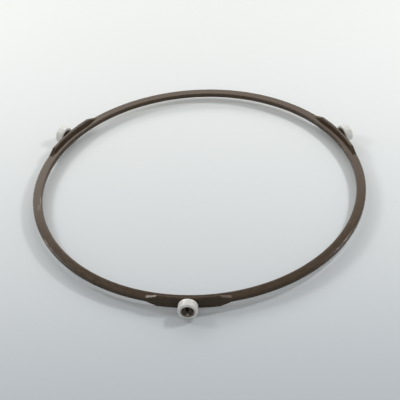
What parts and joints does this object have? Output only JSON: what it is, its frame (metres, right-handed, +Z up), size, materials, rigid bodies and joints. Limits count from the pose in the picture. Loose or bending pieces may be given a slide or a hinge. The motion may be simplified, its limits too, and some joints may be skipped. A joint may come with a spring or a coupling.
{
  "type": "microwave roller ring",
  "caption": "Dark brown plastic ring with small white rollers on radial stub axles round its edge. It carries a microwave oven's glass tray and runs on the oven floor.",
  "frame": {"origin": "centre of the ring, in the plane of the roller axles, which is also the ring's mid-plane; the floor that it rolls on is 7 mm below", "axes": "+Z is up, along the ring's axis; -Y points from the centre to the front roller"},
  "size_m": [0.256, 0.2641, 0.014],
  "materials": {
    "brown_plastic": "satin moulded, lightly scuffed",
    "white_plastic": "satin moulded"
  },
  "bodies": {
    "ring": {"ring": "brown_plastic"},
    "roller_front": {"roller_front": "white_plastic"},
    "roller_rear_left": {"roller_rear_left": "white_plastic"},
    "roller_rear_right": {"roller_rear_right": "white_plastic"}
  },
  "joints": [
    {"name": "roller_front_spin", "type": "hinge", "parent": "ring", "child": "roller_front", "pos_m": [0, -0.13295, 0], "axis": [0, -1, 0], "continuous": true},
    {"name": "roller_rear_left_spin", "type": "hinge", "parent": "ring", "child": "roller_rear_left", "pos_m": [-0.11514, 0.06648, 0], "axis": [-0.866, 0.5, 0], "continuous": true},
    {"name": "roller_rear_right_spin", "type": "hinge", "parent": "ring", "child": "roller_rear_right", "pos_m": [0.11514, 0.06648, 0], "axis": [0.866, 0.5, 0], "continuous": true}
  ]
}
